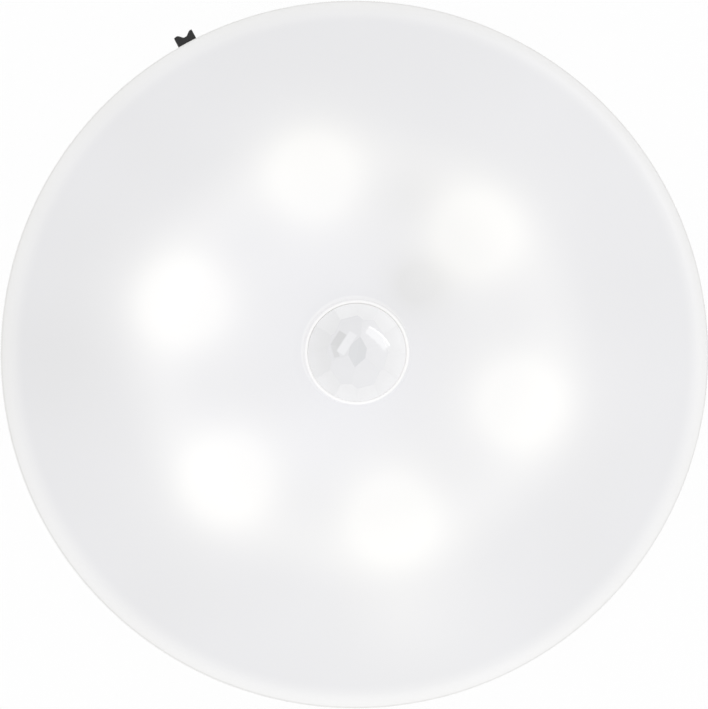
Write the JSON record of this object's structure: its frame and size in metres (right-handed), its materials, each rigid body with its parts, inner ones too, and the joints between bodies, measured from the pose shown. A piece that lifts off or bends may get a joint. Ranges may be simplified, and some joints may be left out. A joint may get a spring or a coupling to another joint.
{
  "type": "motion sensor night light",
  "caption": "Round battery night light: milky domed diffuser with a motion sensor lens at its centre, a slide switch on the edge, and a battery door and magnets in the flat back.",
  "frame": {"origin": "centre of the flat back, which lies on the wall", "axes": "+Z out of the wall towards the room, +X to the right and +Y up as the lamp is seen from the room"},
  "size_m": [0.085, 0.085, 0.0272],
  "materials": {
    "housing_plastic": "fine moulded satin",
    "diffuser_plastic": "milky, satin",
    "lens_plastic": "milky, glossy outside",
    "black_plastic": "satin",
    "board_laminate": "white solder resist",
    "led_phosphor": "yellow phosphor in a white frame",
    "bright_steel": "nickel plated",
    "brass": "gold flashed",
    "sensor_window": "dark infrared window",
    "sensor_ceramic": "clear coated",
    "chip_resin": "moulded epoxy",
    "capacitor_sleeve": "shrunk sleeve",
    "cell_jacket": "printed jacket",
    "magnet_plating": "nickel plated"
  },
  "bodies": {
    "housing": {"base_housing": "housing_plastic", "diffuser_dome": "diffuser_plastic", "pir_lens": "lens_plastic", "sensor_shroud": "housing_plastic", "led_board": "board_laminate", "led_1": "led_phosphor", "led_2": "led_phosphor", "led_3": "led_phosphor", "led_4": "led_phosphor", "led_5": "led_phosphor", "led_6": "led_phosphor", "pir_base": "brass", "pir_can": "bright_steel", "pir_window": "sensor_window", "light_sensor": "sensor_ceramic", "controller_chip": "chip_resin", "storage_capacitor": "capacitor_sleeve", "voltage_regulator": "chip_resin", "resistor_1": "chip_resin", "resistor_2": "chip_resin", "resistor_3": "chip_resin", "resistor_4": "chip_resin", "switch_base": "black_plastic", "switch_shell": "bright_steel", "battery_1": "cell_jacket", "battery_2": "cell_jacket", "battery_3": "cell_jacket", "negative_contact": "bright_steel", "positive_contact": "bright_steel", "bridge_contact_left": "bright_steel", "bridge_contact_right": "bright_steel", "battery_spring_1": "bright_steel", "battery_spring_2": "bright_steel", "battery_spring_3": "bright_steel", "board_screw_1": "bright_steel", "board_screw_2": "bright_steel", "board_screw_3": "bright_steel", "magnet_upper": "magnet_plating", "magnet_lower": "magnet_plating"},
    "battery_door": {"battery_door": "housing_plastic"},
    "switch_knob": {"switch_knob": "black_plastic", "switch_wiper": "brass"}
  },
  "joints": [
    {"name": "battery_door_hinge", "type": "hinge", "parent": "housing", "child": "battery_door", "pos_m": [0, -0.01745, 0], "axis": [-1, 0, 0], "range_deg": [0, 75]},
    {"name": "switch_slide", "type": "slide", "parent": "housing", "child": "switch_knob", "axis": [0.8813, 0.4726, 0], "range_m": [-0.002, 0.002]}
  ]
}
